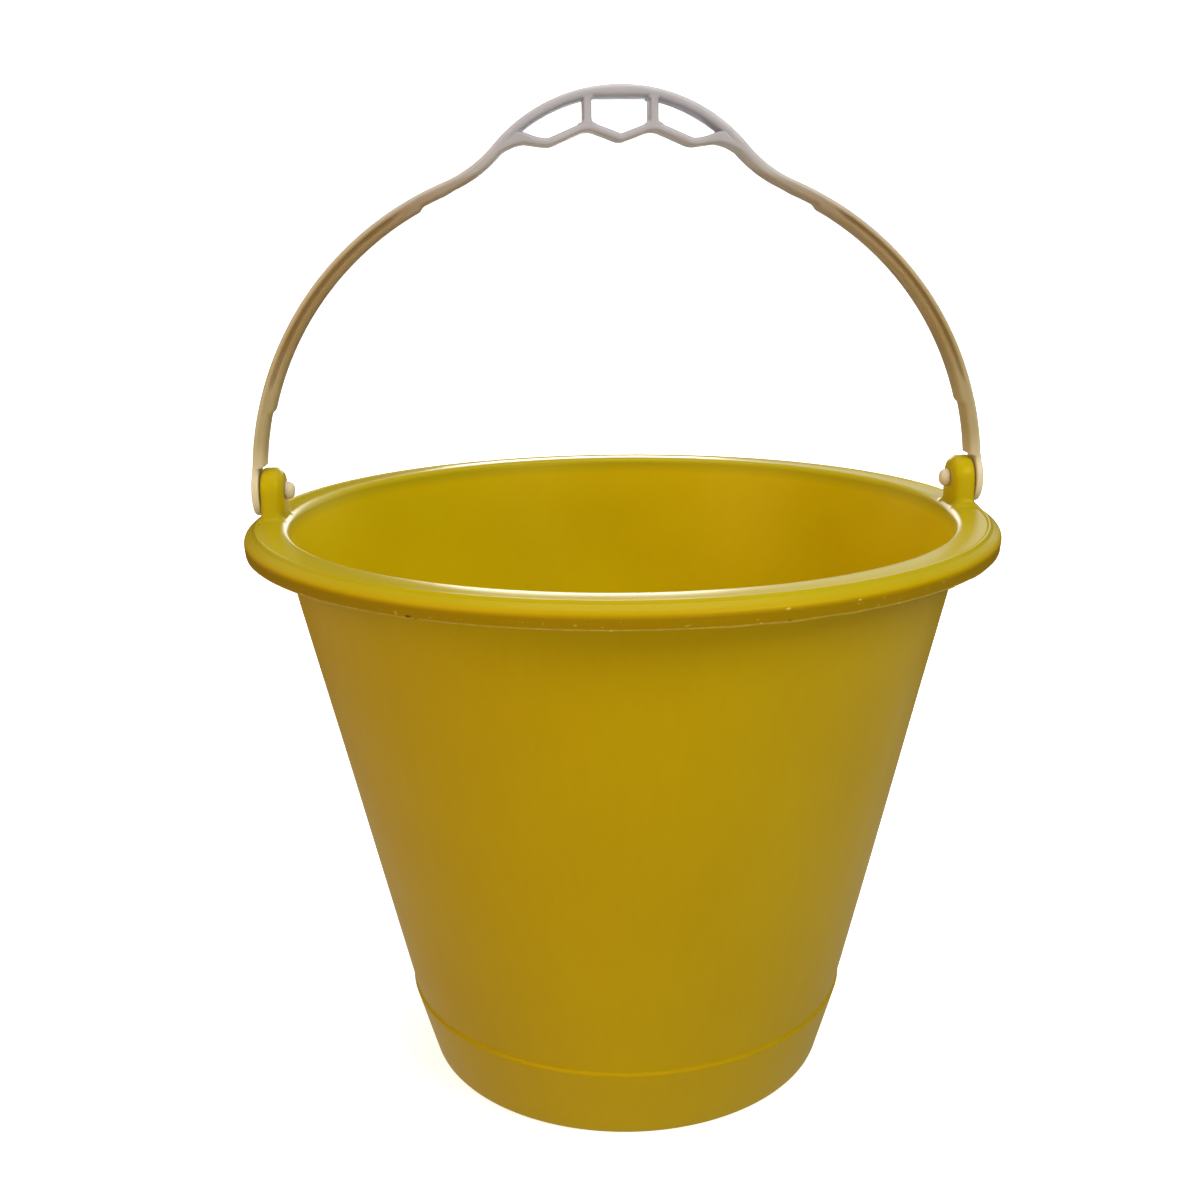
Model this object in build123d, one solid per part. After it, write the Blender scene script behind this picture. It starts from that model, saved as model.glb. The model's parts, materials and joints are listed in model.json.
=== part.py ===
from build123d import *
import os
from math import atan2, cos, degrees, hypot, radians, sin, sqrt, tan

os.makedirs("parts", exist_ok=True)

# Round tapered bucket with a stepped rim and two upstanding ears, carried by a
# swinging bail with an openwork finger grip.  Millimetres, +Z up, origin on the
# axis in the plane that the foot stands on.  The ears lie on the X axis and the
# bail is shown upright.

# ---------------------------------------------------------------- bucket sizes
bucket_height = 232.0        # foot to the top of the rim
rim_outer_r = 150.0          # outside of the rim
wall_overhang = 15.1         # how far the rim stands out from the side wall
lip_depth = 8.4              # drop of the rim's outer skirt
lip_draft = 0.5              # the skirt leans in by this much towards its lower edge
rim_skin = 2.4               # thickness of the rim's flat top and skirt
crest_round = 2.5            # rounding of the rim's inner edge
shoulder_width = 4.6         # sloped shoulder, from the flat top to the rim's outside
shoulder_drop = 3.0          # fall of the shoulder if it had no rounding
shoulder_round = 3.0         # rounding between the shoulder and the skirt
wall_thickness = 2.7         # side wall, measured level
foot_height = 32.5           # height of the foot band
foot_top_r = 93.1            # outside of the band at its upper edge
foot_taper = 8.8             # how much the band narrows towards the ground
foot_edge_round = 2.4        # rounding of the standing edge
foot_ring_width = 5.0        # width of the ring that the bucket stands on
ledge_width = 0.6            # how far the band stands out from the wall above it
ledge_height = 1.2           # height of the sloped ledge on top of the band
base_recess = 4.0            # height of the floor's underside above the ground
base_thickness = 2.6         # floor plate
floor_round = 5.0            # inside rounding between floor and wall

# ------------------------------------------------------------------- ear sizes
ear_setback = 6.4            # from the rim's outside to the ear's outer face
ear_thickness = 8.8          # along the pin
ear_round_r = 9.2            # half-round top, struck about the pin
ear_inner_round = 2.8        # rounding of the edges on the bucket's inner side
ear_outer_round = 1.4        # rounding of the edges beside the bail's eye
ear_root = 2.0               # how deep the ear is rooted in the rim
pin_above_rim = 11.0         # pin axis above the rim's top

# ------------------------------------------------------------------- pin sizes
pin_r = 3.0                  # snap pin moulded on the bail
pin_clearance = 0.07         # radial running clearance in the ear's bore
head_rim = 0.5               # how far the snap head stands out past the pin
head_length = 4.2            # how far the head stands out from the ear
head_round = 1.9             # rounding of the head's end
side_gap = 0.4               # end play on each side of the ear

# ------------------------------------------------------------------ bail sizes
arm_offset_x = 20.2          # centre of each arm's arc, out from the middle
arm_width = 12.0             # along Y
arm_thickness = 4.2          # plain stretches of the arm
rib_thickness = 5.75         # stiffened stretch of the arm
rib_start_deg = 14.9         # start of that stretch, up from the pin's level
rib_neck_gap_deg = 5.9       # end of that stretch, short of the neck
rib_step_deg = 0.7           # half the length of the slope at each end
channel_flange = 1.5         # flange left on each side of the channel
channel_depth = 1.5          # channel cut into each face of the stiffened stretch
channel_inset_deg = 1.4      # the channel stops this short of the steps
eye_r = 9.7                  # round eye about the pin
eye_thickness = 2.7          # along the pin
eye_dome_r = 6.0             # low dome on the eye's outer face
eye_dome_height = 1.1
eye_swing_gap = 0.5          # radial room between the ear's top and the arm
eye_step = 0.8               # rise of the slope from the eye to the arm

# ------------------------------------------------------------------ grip sizes
grip_stand = 25.7            # top of the grip above the tops of the arms' arcs
grip_arch_r = 64.7           # outer radius of the grip's arch
grip_arch_thickness = 3.5    # arch over the side windows
grip_bar_thickness = 4.1     # arch at its middle, where its underside is flat
grip_width = 18.0            # along Y
grip_flare_start = 45.0      # full grip width up to here, out from the middle
grip_flare_end = 78.0        # arm width from here on
neck_round = 50.0            # outer hollow between the arch and the arm
neck_thickness = 4.0
strut_x = 12.6               # middle of each strut
strut_thickness = 2.5
wave_thickness = 2.8         # scalloped lower bar
wave_mid_drop = 19.1         # depths of its middle line below the grip's top
wave_arch_drop = 14.5
wave_valley_drop = 20.8
wave_end_drop = 19.5
wave_root_drop = 21.4
wave_end_back = 8.4          # last bend, in from the bar's end on the neck's middle line
wave_valley_back = 17.9      # outer valley, in from the same end
wave_mid_round = 3.0         # bends of its middle line
wave_arch_round = 9.0
wave_valley_round = 6.0
wave_end_round = 6.0

# ------------------------------------------------------------- worked-out sizes
pin_z = bucket_height + pin_above_rim
lip_bottom_z = bucket_height - lip_depth
rim_under_z = bucket_height - rim_skin
wall_top_r = rim_outer_r - wall_overhang
wall_foot_r = foot_top_r - ledge_width
foot_bottom_r = foot_top_r - foot_taper
band_top_z = foot_height - ledge_height
floor_z = base_recess + base_thickness
ear_outer_x = rim_outer_r - ear_setback
ear_inner_x = ear_outer_x - ear_thickness
eye_inner_x = ear_outer_x + side_gap
eye_outer_x = eye_inner_x + eye_thickness
head_r = pin_r + head_rim
arm_outer_r = eye_outer_x - arm_offset_x
grip_rise = arm_outer_r + grip_stand
arm_centre = (arm_offset_x, 0.0)
arch_centre = (0.0, grip_rise - grip_arch_r)


# -------------------------------------------------------------- plane geometry
def on_line(start, end, level):
    """Value of a straight line between two (value, level) points at a level."""
    return start[0] + (end[0] - start[0]) * (level - start[1]) / (end[1] - start[1])


def on_circle(centre, radius, degrees_up):
    """Point on a circle, the angle counted up from the horizontal."""
    a = radians(degrees_up)
    return (centre[0] + radius * cos(a), centre[1] + radius * sin(a))


def direction(start, end):
    """Degrees up from the horizontal, seen from start."""
    return degrees(atan2(end[1] - start[1], end[0] - start[0]))


def towards(start, end, distance):
    """Point at a distance from start on the way to end."""
    share = distance / hypot(end[0] - start[0], end[1] - start[1])
    return (start[0] + (end[0] - start[0]) * share, start[1] + (end[1] - start[1]) * share)


def arc_between(centre, radius, start, end):
    """Arc about centre, from one point to another."""
    middle_deg = (direction(centre, start) + direction(centre, end)) / 2
    return ThreePointArc(start, on_circle(centre, radius, middle_deg), end)


def outer_crossing(centre_a, radius_a, centre_b, radius_b):
    """The crossing of two circles that lies further out in x."""
    dx = centre_b[0] - centre_a[0]
    dz = centre_b[1] - centre_a[1]
    span = hypot(dx, dz)
    along = (radius_a**2 - radius_b**2 + span**2) / (2 * span)
    aside = sqrt(radius_a**2 - along**2)
    foot = towards(centre_a, centre_b, along)
    crossings = [
        (foot[0] + aside * dz / span, foot[1] - aside * dx / span),
        (foot[0] - aside * dz / span, foot[1] + aside * dx / span),
    ]
    return max(crossings)


def ring_sector(centre, outer_r, inner_r, low_deg, high_deg):
    """Flat band of a ring between two angles up from the horizontal."""
    start_out = on_circle(centre, outer_r, low_deg)
    end_out = on_circle(centre, outer_r, high_deg)
    start_in = on_circle(centre, inner_r, low_deg)
    end_in = on_circle(centre, inner_r, high_deg)
    middle_deg = (low_deg + high_deg) / 2
    with BuildLine() as line:
        ThreePointArc(start_out, on_circle(centre, outer_r, middle_deg), end_out)
        Line(end_out, end_in)
        ThreePointArc(end_in, on_circle(centre, inner_r, middle_deg), start_in)
        Line(start_in, start_out)
    return make_face(line.line)


# --------------------------------------------------------------------- bucket
def shell_profile():
    """Half section of the bucket, in the plane of r and z."""
    wall_top = (wall_top_r, lip_bottom_z)
    wall_foot = (wall_foot_r, foot_height)
    band_top = (foot_top_r, band_top_z)
    band_start = (foot_bottom_r, foot_edge_round)
    crest_z = bucket_height - crest_round
    mouth_r = on_line(wall_foot, wall_top, crest_z) - wall_thickness
    crest_centre = (mouth_r + crest_round, crest_z)
    crest_side = (mouth_r, crest_z)
    crest_top = (crest_centre[0], bucket_height)
    flat_edge = (rim_outer_r - shoulder_width, bucket_height)
    shoulder_corner = (rim_outer_r, bucket_height - shoulder_drop)
    half_corner_deg = (270 - direction(shoulder_corner, flat_edge)) / 2
    tangent_length = shoulder_round / tan(radians(half_corner_deg))
    shoulder_side = (rim_outer_r, shoulder_corner[1] - tangent_length)
    shoulder_top = towards(shoulder_corner, flat_edge, tangent_length)
    skirt_inner_r = rim_outer_r - rim_skin
    inner_kink = (wall_foot_r - wall_thickness, foot_height)
    floor_corner = (on_line(band_start, band_top, floor_z) - wall_thickness, floor_z)
    floor_end = (floor_corner[0] - floor_round, floor_z)
    wall_start = towards(floor_corner, inner_kink, floor_round)
    down_the_wall = (floor_corner[0] - inner_kink[0], floor_corner[1] - inner_kink[1])
    ring_inner_r = foot_bottom_r - foot_ring_width
    standing_edge = (foot_bottom_r - foot_edge_round, 0)
    with BuildLine() as line:
        Polyline(
            floor_end,
            (0, floor_z),
            (0, base_recess),
            (ring_inner_r, base_recess),
            (ring_inner_r, 0),
            standing_edge,
        )
        TangentArc(standing_edge, band_start, tangent=(1, 0))
        Polyline(
            band_start,
            band_top,
            wall_foot,
            (on_line(wall_foot, wall_top, rim_under_z), rim_under_z),
            (skirt_inner_r, rim_under_z),
            (skirt_inner_r - lip_draft, lip_bottom_z),
            (rim_outer_r - lip_draft, lip_bottom_z),
            shoulder_side,
        )
        TangentArc(shoulder_side, shoulder_top, tangent=(0, 1))
        Polyline(shoulder_top, flat_edge, crest_top)
        arc_between(crest_centre, crest_round, crest_top, crest_side)
        Polyline(crest_side, inner_kink, wall_start)
        TangentArc(wall_start, floor_end, tangent=down_the_wall)
    return make_face(Plane.XZ * line.line)


def ear(side):
    """Upstanding lug with a half-round top; its lower end is rooted in the rim."""
    outline = Rectangle(2 * ear_round_r, pin_above_rim + ear_root, align=(Align.CENTER, Align.MAX))
    outline += Circle(ear_round_r)
    lug = extrude(Plane.YZ * outline, ear_thickness)
    inner_edges = lug.faces().sort_by(Axis.X)[0].edges().sort_by(Axis.Z)[1:]
    lug = fillet(inner_edges, ear_inner_round)
    outer_edges = lug.faces().sort_by(Axis.X)[-1].edges().sort_by(Axis.Z)[1:]
    lug = Pos(ear_inner_x, 0, pin_z) * fillet(outer_edges, ear_outer_round)
    return lug if side > 0 else lug.mirror(Plane.YZ)


def bucket_shell():
    shell = revolve(shell_profile(), Axis.Z)
    for side in (1, -1):
        shell += ear(side)
    bore_length = 2 * (ear_outer_x + side_gap)
    return shell - Pos(0, 0, pin_z) * Rot(0, 90, 0) * Cylinder(pin_r + pin_clearance, bore_length)


# ----------------------------------------------------------------------- bail
# Outlines of the bail lie in the plane of x and z, with the pin's axis at z = 0.
neck_centre = outer_crossing(
    arm_centre, arm_outer_r + neck_round, arch_centre, grip_arch_r + neck_round
)
neck_low = towards(arm_centre, neck_centre, arm_outer_r)
neck_high = towards(arch_centre, neck_centre, grip_arch_r)
rib_end_deg = direction(arm_centre, neck_low) - rib_neck_gap_deg


def arm_outline():
    """One arm from the pin's level to the neck."""
    plain_r = arm_outer_r - arm_thickness
    rib_r = arm_outer_r - rib_thickness
    neck_in = towards(arm_centre, neck_centre, plain_r)
    high_end = on_circle(arm_centre, plain_r, rib_end_deg + rib_step_deg)
    high_start = on_circle(arm_centre, rib_r, rib_end_deg - rib_step_deg)
    low_end = on_circle(arm_centre, rib_r, rib_start_deg + rib_step_deg)
    low_start = on_circle(arm_centre, plain_r, rib_start_deg - rib_step_deg)
    arm_start_z = ear_round_r + eye_swing_gap + eye_step
    arm_start = (arm_offset_x + sqrt(plain_r**2 - arm_start_z**2), arm_start_z)
    pin_level_out = (eye_outer_x, 0)
    with BuildLine() as line:
        arc_between(arm_centre, arm_outer_r, pin_level_out, neck_low)
        Line(neck_low, neck_in)
        arc_between(arm_centre, plain_r, neck_in, high_end)
        Line(high_end, high_start)
        arc_between(arm_centre, rib_r, high_start, low_end)
        Line(low_end, low_start)
        arc_between(arm_centre, plain_r, low_start, arm_start)
        Polyline(
            arm_start,
            (eye_inner_x, ear_round_r + eye_swing_gap),
            (eye_inner_x, 0),
            pin_level_out,
        )
    return make_face(line.line)


def neck_outline():
    """Hollow-sided stretch that joins the arm to the grip's arch."""
    low_deg = direction(neck_centre, neck_low)
    high_deg = direction(neck_centre, neck_high)
    return ring_sector(neck_centre, neck_round + neck_thickness, neck_round, low_deg, high_deg)


def scalloped_bar():
    """Lower bar of the grip, with a shallow scallop for each finger."""
    neck_middle_r = neck_round + neck_thickness / 2
    root_z = grip_rise - wave_root_drop
    root_x = neck_centre[0] - sqrt(neck_middle_r**2 - (root_z - neck_centre[1]) ** 2)
    half_line = [
        (root_x, root_z),
        (root_x - wave_end_back, grip_rise - wave_end_drop),
        (root_x - wave_valley_back, grip_rise - wave_valley_drop),
        (strut_x, grip_rise - wave_arch_drop),
    ]
    middle = (0, grip_rise - wave_mid_drop)
    points = [(-x, z) for x, z in half_line] + [middle] + half_line[::-1]
    bends = [wave_end_round, wave_valley_round, wave_arch_round]
    with BuildLine() as line:
        FilletPolyline(*points, radius=bends + [wave_mid_round] + bends[::-1])
    return trace(line.line, wave_thickness)


def grip_outline():
    """Openwork grip: arch, two struts and the scalloped bar."""
    arch_deg = direction(arch_centre, neck_high)
    inner_r = grip_arch_r - grip_arch_thickness
    outline = ring_sector(arch_centre, grip_arch_r, inner_r, arch_deg, 180 - arch_deg)
    outline += scalloped_bar()
    half_flat = strut_x + strut_thickness / 2
    arch_middle_z = grip_rise - grip_arch_thickness / 2
    flat_z = grip_rise - grip_bar_thickness
    flat = Rectangle(2 * half_flat, arch_middle_z - flat_z, align=(Align.CENTER, Align.MIN))
    outline += Pos(0, flat_z) * flat
    strut_low = grip_rise - wave_arch_drop
    strut_high = arch_centre[1] + sqrt(inner_r**2 - half_flat**2) + grip_arch_thickness / 2
    strut = Rectangle(strut_thickness, strut_high - strut_low, align=(Align.CENTER, Align.MIN))
    for side in (1, -1):
        outline += Pos(side * strut_x, strut_low) * strut
    return outline


def width_envelope():
    """Plan of the bail: narrow arms, flared out to the grip's width."""
    half_arm = arm_width / 2
    corners = [
        (eye_outer_x, half_arm),
        (grip_flare_end, half_arm),
        (grip_flare_start, grip_width / 2),
    ]
    far_side = [(-x, y) for x, y in reversed(corners)]
    near_side = [(-x, -y) for x, y in corners + far_side]
    with BuildLine() as line:
        Polyline(*corners, *far_side, *near_side, close=True)
    return make_face(line.line)


def eye(side):
    """Round eye with its low dome, snap pin and snap head, turned about the pin's axis."""
    head_base_x = ear_inner_x - side_gap
    tip_x = head_base_x - head_length
    tip_edge = (tip_x, head_r - head_round)
    head_side = (tip_x + head_round, head_r)
    dome_edge = (eye_outer_x, eye_dome_r)
    dome_top = (eye_outer_x + eye_dome_height, 0)
    with BuildLine() as line:
        Line((tip_x, 0), tip_edge)
        TangentArc(tip_edge, head_side, tangent=(0, 1))
        Polyline(
            head_side,
            (head_base_x, head_r),
            (head_base_x, pin_r),
            (eye_inner_x, pin_r),
            (eye_inner_x, eye_r),
            (eye_outer_x, eye_r),
            dome_edge,
        )
        TangentArc(dome_top, dome_edge, tangent=(0, 1))
        Line(dome_top, (tip_x, 0))
    turned = revolve(make_face(line.line), Axis.X)
    return turned if side > 0 else turned.mirror(Plane.YZ)


def channels():
    """Channels in both faces of each arm's stiffened stretch."""
    low_deg = rib_start_deg + rib_step_deg + channel_inset_deg
    high_deg = rib_end_deg - rib_step_deg - channel_inset_deg
    outer_r = arm_outer_r - channel_flange
    inner_r = arm_outer_r - rib_thickness + channel_flange
    band = ring_sector(arm_centre, outer_r, inner_r, low_deg, high_deg)
    floor_y = arm_width / 2 - channel_depth
    cuts = []
    for face_side in (1, -1):
        cut = extrude(Plane.XZ * band, grip_width / 2, both=True)
        cut = Pos(0, face_side * (floor_y + grip_width / 2), 0) * cut
        cuts += [cut, cut.mirror(Plane.YZ)]
    return cuts


def bail_handle():
    arm = arm_outline() + neck_outline()
    outline = grip_outline() + arm + arm.mirror(Plane.YZ)
    body = extrude(Plane.XZ * outline, grip_width / 2, both=True)
    body &= extrude(Plane.XY * width_envelope(), grip_rise, both=True)
    for side in (1, -1):
        body += eye(side)
    for cut in channels():
        body -= cut
    return Pos(0, 0, pin_z) * body


nodes = {"bucket_shell": bucket_shell(), "bail_handle": bail_handle()}
for name, solid in nodes.items():
    export_step(solid, f"parts/{name}.step")
    print(name, round(solid.volume), "mm3", solid.is_valid)
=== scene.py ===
import json
import math
import bmesh
import bpy
import numpy as np
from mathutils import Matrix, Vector


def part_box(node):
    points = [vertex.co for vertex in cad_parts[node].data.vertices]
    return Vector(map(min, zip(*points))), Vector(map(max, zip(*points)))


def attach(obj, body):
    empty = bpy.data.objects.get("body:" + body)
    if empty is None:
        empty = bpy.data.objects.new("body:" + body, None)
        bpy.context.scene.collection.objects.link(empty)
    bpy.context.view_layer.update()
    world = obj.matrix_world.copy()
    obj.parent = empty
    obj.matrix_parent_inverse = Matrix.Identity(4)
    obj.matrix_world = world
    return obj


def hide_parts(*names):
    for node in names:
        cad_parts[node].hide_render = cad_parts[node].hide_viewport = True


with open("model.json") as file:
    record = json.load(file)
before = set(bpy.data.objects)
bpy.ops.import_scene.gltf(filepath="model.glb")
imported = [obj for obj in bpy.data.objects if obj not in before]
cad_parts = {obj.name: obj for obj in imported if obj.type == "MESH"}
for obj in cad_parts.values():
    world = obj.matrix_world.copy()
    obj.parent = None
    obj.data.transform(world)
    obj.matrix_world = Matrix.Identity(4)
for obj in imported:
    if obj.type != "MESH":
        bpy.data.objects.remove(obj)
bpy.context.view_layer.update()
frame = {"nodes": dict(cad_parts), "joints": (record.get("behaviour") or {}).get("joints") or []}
print("frame loaded:", ", ".join(sorted(frame["nodes"])))

mm = 0.001
pin = np.array(frame["joints"][0]["pos_m"]) / mm          # the bail's pin axis, in millimetres
shellHigh = np.array(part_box("bucket_shell")[1]) / mm      # upper corners of the two boxes
bailHigh = np.array(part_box("bail_handle")[1]) / mm


# Small tools.

def linearColour(hexCode):                                # sRGB hex to the linear colour that nodes want
    parts = [int(hexCode[i:i + 2], 16) / 255 for i in (1, 3, 5)]
    return [*(c / 12.92 if c <= 0.04045 else ((c + 0.055) / 1.055) ** 2.4 for c in parts), 1.0]


def addNode(tree, kind, inputs, **settings):              # one node, its settings and what fills its sockets
    node = tree.nodes.new("ShaderNode" + kind)
    for name, value in settings.items():
        setattr(node, name, value)
    for socket, value in inputs.items():
        if isinstance(value, bpy.types.NodeSocket):
            tree.links.new(value, node.inputs[socket])
        else:
            node.inputs[socket].default_value = value
    return node


def ramp(x, start, end):                                  # 0 up to start, 1 past end, level at both
    share = np.clip((x - start) / (end - start), 0, 1)
    return share * share * (3 - 2 * share)


def roundedLine(corners, radii, step):
    # Straight runs between the corners. Each inner corner is replaced by the arc of its radius that touches
    # both runs: it starts radius / tan(half the corner's angle) before the corner. Runs and arcs are
    # divided evenly into lengths near step, an arc into at least fewest of them.
    fewest, straight = 5, math.pi / 2 - 1e-4
    corners = np.array(corners, float)
    bends = []
    for before, corner, after, radius in zip(corners, corners[1:], corners[2:], radii):
        into = (before - corner) / np.linalg.norm(before - corner)
        away = (after - corner) / np.linalg.norm(after - corner)
        half = math.acos(np.clip(into @ away, -1, 1)) / 2
        if radius <= 0 or half > straight:
            bends.append((corner, corner, None))
            continue
        reach = radius / math.tan(half)
        middle = corner + (into + away) / np.linalg.norm(into + away) * radius / math.sin(half)
        bends.append((corner + into * reach, corner + away * reach, middle))
    bends.append((corners[-1], corners[-1], None))
    points = [corners[:1]]
    for start, end, middle in bends:
        run = start - points[-1][-1]
        count = max(1, round(np.linalg.norm(run) / step))
        points.append(points[-1][-1] + run * np.arange(1, count + 1)[:, None] / count)
        if middle is not None:
            a, b = start - middle, end - middle
            turn = math.acos(np.clip(a @ b / (a @ a), -1, 1))
            count = max(fewest, round(turn * math.sqrt(a @ a) / step))
            share = np.arange(1, count + 1)[:, None] / count
            arc = (a * np.sin((1 - share) * turn) + b * np.sin(share * turn)) / math.sin(turn)
            points.append(middle + arc)
    return np.concatenate(points)


def gridQuads(rows, columns, wrapRows=False, wrapColumns=False):
    # The four corners of each cell of a grid, numbered row by row.
    r = np.arange(rows if wrapRows else rows - 1)[:, None]
    c = np.arange(columns if wrapColumns else columns - 1)[None, :]
    nextR, nextC = (r + 1) % rows, (c + 1) % columns
    quads = [r * columns + c, nextR * columns + c, nextR * columns + nextC, r * columns + nextC]
    return np.stack(quads, -1).reshape(-1, 4)


def turnedGrid(radius, height, angle):
    # Point = (radius cos angle, radius sin angle, height): one row per angle, one column per profile point.
    return np.stack([radius * np.cos(angle), radius * np.sin(angle), height + 0 * angle], -1)


def closedMesh(name, points, quads):
    # Points in millimetres. Doubles are merged, open ends are capped and faces turned outwards.
    mergeGap, noLength, sharpDegrees = 2e-6, 1e-7, 38
    mesh = bpy.data.meshes.new(name)
    mesh.from_pydata(np.asarray(points) * mm, [], quads)
    work = bmesh.new()
    work.from_mesh(mesh)
    bmesh.ops.remove_doubles(work, verts=work.verts, dist=mergeGap)
    bmesh.ops.dissolve_degenerate(work, edges=work.edges, dist=noLength)
    openEdges = [e for e in work.edges if e.is_boundary]
    if openEdges:
        bmesh.ops.holes_fill(work, edges=openEdges)
    bmesh.ops.recalc_face_normals(work, faces=work.faces)
    if work.calc_volume(signed=True) < 0:
        bmesh.ops.reverse_faces(work, faces=work.faces)
    work.to_mesh(mesh)
    work.free()
    mesh.shade_smooth()
    mesh.set_sharp_from_angle(angle=math.radians(sharpDegrees))
    piece = bpy.data.objects.new(name, mesh)
    bpy.context.scene.collection.objects.link(piece)
    return piece


def fuse(piece, others, operation="UNION"):               # joins closed meshes to a piece, or cuts them away
    for other in others:
        step = piece.modifiers.new("fuse", "BOOLEAN")
        step.operation, step.solver, step.object = operation, "EXACT", other
    seen = bpy.context.evaluated_depsgraph_get()
    fused = bpy.data.meshes.new_from_object(piece.evaluated_get(seen))
    piece.modifiers.clear()
    piece.data = fused
    for other in others:
        bpy.data.objects.remove(other)


# Bucket: yellow moulding, a profile turned about Z, and two ears fused to its rim.

bucket = dict(
    pinAboveRim=11.0,          # pin axis above the rim's flat top
    wallOverhang=15.1,         # how far the rim stands out from the wall
    lipDepth=8.4,              # drop of the rim's skirt
    lipDraft=0.5,
    rimSkin=2.4,               # thickness of the rim's flat top and of its skirt
    rimUnderRound=(1.2, 1.6),  # hollows under the rim, at its skirt and at the wall
    crestRise=0.1,             # inner edge of the rim
    crestRound=3.4,
    shoulderWidth=4.6,         # slope between the flat top and the skirt
    shoulderDrop=3.0,
    shoulderRound=3.0,
    crownRise=0.5,             # the rim's top is slightly crowned
    crownWidth=6.0,            # from its inner edge to the crown
    crownRound=30.0,
    ridgeRise=0.4,             # fine ridge where the top ends
    ridgeWidth=1.1,
    ridgeAt=(-1.2, -0.4, 0.1, 1.0),    # its four bends, in widths out from where the slope starts
    ridgeRound=(0.5, 0.4, 0.4, 1.0),
    wall=2.7,
    kinkRound=12.0,            # where the inside turns from the foot band into the wall
    bandHeight=32.5,           # foot band and the small ledge on top of it
    bandTopR=93.1,
    bandTaper=8.8,
    ledgeWidth=0.6,
    ledgeHeight=1.2,
    ledgeRound=(0.8, 0.5),
    standRound=2.4,
    standWidth=5.0,
    recess=4.0,                # underside of the floor above the ground
    recessRound=1.0,
    floor=2.6,
    floorRound=5.0,
    gateR=4.5,                 # round gate mark in the middle of the underside
    gateDepth=0.5,
    gateTaper=0.4,
    gateRound=0.3,
    ringR=46.0,                # shallow stacking ring on the underside
    ringHeight=0.7,
    ringHalf=(0.7, 1.2),       # half its width at its edge and at its root
    ringRound=(0.3, 0.4),
    softEdge=0.35,             # rounding of every other moulded edge
    step=4.4,                  # between points of the profile
    around=320,                # steps round the axis
    flashCount=26,             # short bits of flash on the skirt's lower edge
    flashHalf=(0.012, 0.05),   # half length in radians, shortest and longest
    flashDrop=(0.1, 0.45),
    flashFade=(0.4, 1.4),      # full out to the first and gone at the second, in half lengths
    flashTop=0.8,              # it starts this far above the edge
    flashDraft=0.9,            # the skirt's draft there, as a share of its whole draft
    flashReach=4.0,            # and lies this near the rim's outside
    waveRound=0.12,            # the wall isn't quite true: out of round, and in shallow slanting waves
    roundTurns=(3, 1.1, 41.0),    # how many round the wall, their start, and millimetres up per radian
    waveSlant=0.08,
    slantTurns=(7, 23.0),
    waveLow=(12.0, 42.0),      # the waves grow between these heights
    waveHigh=(12.0, 32.0),     # and between these depths below the rim
)
rimR = shellHigh[0]
rimZ = pin[2] - bucket["pinAboveRim"]
lipZ = rimZ - bucket["lipDepth"]
wallFoot = bucket["bandTopR"] - bucket["ledgeWidth"]
wallSlope = (rimR - bucket["wallOverhang"] - wallFoot) / (lipZ - bucket["bandHeight"])


def bucketProfile(b):
    # Half section as (radius, height), from the middle of the floor up the inside, over the rim and down the
    # outside to the middle of the underside.
    bandFoot = b["bandTopR"] - b["bandTaper"]
    bandTopZ = b["bandHeight"] - b["ledgeHeight"]
    floorZ = b["recess"] + b["floor"]
    bandSlope = b["bandTaper"] / (bandTopZ - b["standRound"])
    mouthR = wallFoot + (rimZ - b["crestRound"] - b["bandHeight"]) * wallSlope - b["wall"]
    underZ = rimZ - b["rimSkin"]
    ridgeR = rimR - b["shoulderWidth"]
    ridgeTop = rimZ + b["ridgeRise"]
    ridgeEnd = rimZ - b["shoulderDrop"] / b["shoulderWidth"] * b["ridgeWidth"]
    ridge = [(ridgeR + at * b["ridgeWidth"], z, bend)
             for at, z, bend in zip(b["ridgeAt"], (rimZ, ridgeTop, ridgeTop, ridgeEnd), b["ridgeRound"])]
    skirtIn = rimR - b["rimSkin"]
    standIn = bandFoot - b["standWidth"]
    ringEdge, ringRoot = b["ringHalf"]
    ringTip = b["recess"] - b["ringHeight"]
    edge = b["softEdge"]
    corners = [
        (0, floorZ, 0),
        (bandFoot + (floorZ - b["standRound"]) * bandSlope - b["wall"], floorZ, b["floorRound"]),
        (wallFoot - b["wall"], b["bandHeight"], b["kinkRound"]),
        (mouthR, rimZ + b["crestRise"], b["crestRound"]),
        (mouthR + b["crownWidth"], rimZ + b["crownRise"], b["crownRound"]),
        *ridge,
        (rimR, rimZ - b["shoulderDrop"], b["shoulderRound"]),
        (rimR - b["flashDraft"] * b["lipDraft"], lipZ + b["flashTop"], 0),
        (rimR - b["lipDraft"], lipZ, edge),
        (skirtIn - b["lipDraft"], lipZ, edge),
        (skirtIn, underZ, b["rimUnderRound"][0]),
        (wallFoot + (underZ - b["bandHeight"]) * wallSlope, underZ, b["rimUnderRound"][1]),
        (wallFoot, b["bandHeight"], b["ledgeRound"][0]),
        (b["bandTopR"], bandTopZ, b["ledgeRound"][1]),
        (bandFoot, 0, b["standRound"]),
        (standIn, 0, edge),
        (standIn, b["recess"], b["recessRound"]),
        (b["ringR"] + ringRoot, b["recess"], b["ringRound"][1]),
        (b["ringR"] + ringEdge, ringTip, b["ringRound"][0]),
        (b["ringR"] - ringEdge, ringTip, b["ringRound"][0]),
        (b["ringR"] - ringRoot, b["recess"], b["ringRound"][1]),
        (b["gateR"], b["recess"], b["gateRound"]),
        (b["gateR"] - b["gateTaper"], b["recess"] + b["gateDepth"], b["gateRound"]),
        (0, b["recess"] + b["gateDepth"], 0),
    ]
    return roundedLine([c[:2] for c in corners], [c[2] for c in corners[1:-1]], b["step"])


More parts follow.
